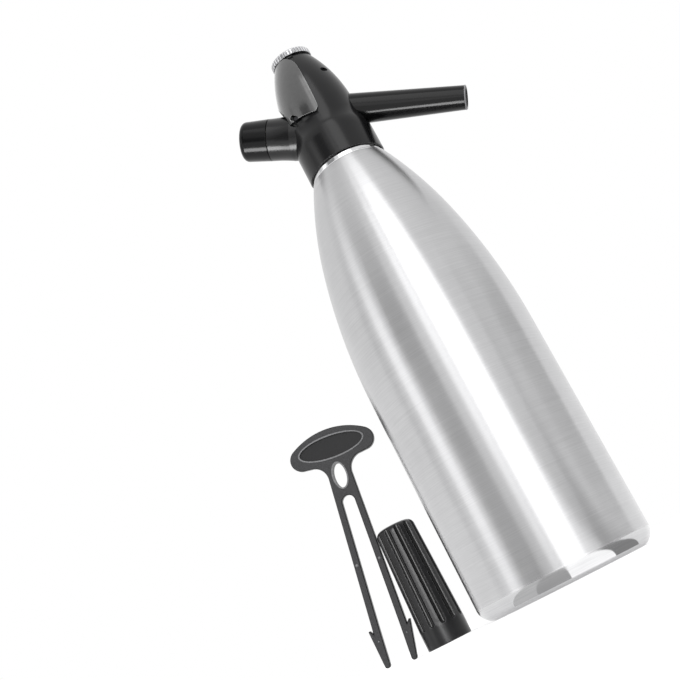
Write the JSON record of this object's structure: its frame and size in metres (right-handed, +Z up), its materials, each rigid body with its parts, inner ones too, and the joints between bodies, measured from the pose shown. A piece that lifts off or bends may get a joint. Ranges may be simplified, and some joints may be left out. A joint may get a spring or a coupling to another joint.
{
  "type": "soda siphon",
  "caption": "Refillable soda siphon: brushed bottle, screw-on head with squeeze lever, spout and charger port, with its charger holder and fork key.",
  "frame": {"origin": "centre of the bottle's base, on the surface that it stands on", "axes": "+Z up the bottle, +X towards the spout, -X towards the charger port, +Y away from the side usually seen"},
  "size_m": [0.195, 0.136, 0.326],
  "materials": {
    "brushed_bottle": "brushed aluminium",
    "polished_collar": "polished",
    "white_tube": "moulded polythene",
    "rubber_seal": "moulded rubber",
    "black_moulding": "semi-gloss moulding",
    "black_gloss": "gloss moulding",
    "plated_brass": "nickel-plated brass",
    "valve_brass": "turned brass",
    "steel_pin": "ground steel",
    "spring_steel": "spring steel",
    "satin_lever": "satin grey anodised",
    "chromed_cap": "chromed",
    "key_plastic": "moulded glass-filled nylon"
  },
  "bodies": {
    "bottle": {"bottle_shell": "brushed_bottle", "neck_collar": "polished_collar"},
    "riser": {"riser_tube": "white_tube", "tube_holder": "white_tube", "head_gasket": "rubber_seal", "tube_seal": "rubber_seal"},
    "head": {"head_housing": "black_moulding", "spout": "black_gloss", "spout_seal": "rubber_seal", "charger_seat": "plated_brass", "piercing_pin": "steel_pin", "port_seal": "rubber_seal", "check_valve": "rubber_seal", "lever_pivot_pin": "steel_pin", "lever_stop_pins": "steel_pin", "valve_seat": "valve_brass", "stem_bush": "valve_brass", "stem_seal": "rubber_seal", "valve_spring": "spring_steel"},
    "lever": {"lever": "satin_lever"},
    "valve": {"valve_stem": "valve_brass", "valve_washer": "rubber_seal", "spring_cup": "valve_brass"},
    "top_cap": {"top_cap": "chromed_cap"},
    "cap_liner": {"cap_liner": "rubber_seal"},
    "port_cap": {"port_cap": "black_gloss"},
    "charger_holder": {"charger_holder": "black_gloss", "holder_pad": "rubber_seal"},
    "fork_key": {"fork_key": "key_plastic"}
  },
  "joints": [
    {"name": "head_lift", "type": "slide", "parent": "bottle", "child": "riser", "axis": [0, 0, 1], "range_m": [0, 0.27]},
    {"name": "head_unscrew", "type": "hinge", "parent": "riser", "child": "head", "pos_m": [0, 0, 0.266], "axis": [0, 0, 1], "range_deg": [0, 540]},
    {"name": "lever_press", "type": "hinge", "parent": "head", "child": "lever", "pos_m": [0.0142, 0, 0.3045], "axis": [0, -1, 0], "range_deg": [0, 5], "stiffness_Nm_per_rad": 2, "springref_deg": -5.73},
    {"name": "valve_open", "type": "slide", "parent": "head", "child": "valve", "axis": [0, 0, -1], "range_m": [0, 0.0013], "deforming": ["valve_spring"]},
    {"name": "top_cap_turn", "type": "hinge", "parent": "head", "child": "top_cap", "pos_m": [0, 0, 0.3226], "axis": [0, 0, 1], "range_deg": [0, 720]},
    {"name": "cap_pull", "type": "slide", "parent": "head", "child": "cap_liner", "axis": [-0.8973, 0, 0.4415], "range_m": [0, 0.03]},
    {"name": "cap_turn", "type": "hinge", "parent": "cap_liner", "child": "port_cap", "pos_m": [-0.04217, 0, 0.29365], "axis": [-0.8973, 0, 0.4415], "range_deg": [0, 900]},
    {"name": "holder_draw", "type": "slide", "parent": "bottle", "child": "charger_holder", "axis": [1, 0, 0], "range_m": [0, 0.1]},
    {"name": "key_lift", "type": "slide", "parent": "bottle", "child": "fork_key", "axis": [0, 0, 1], "range_m": [0, 0.1]}
  ],
  "couplings": [
    {"joint": "valve_open", "follows": "lever_press", "m_per_rad": 0.0142}
  ]
}
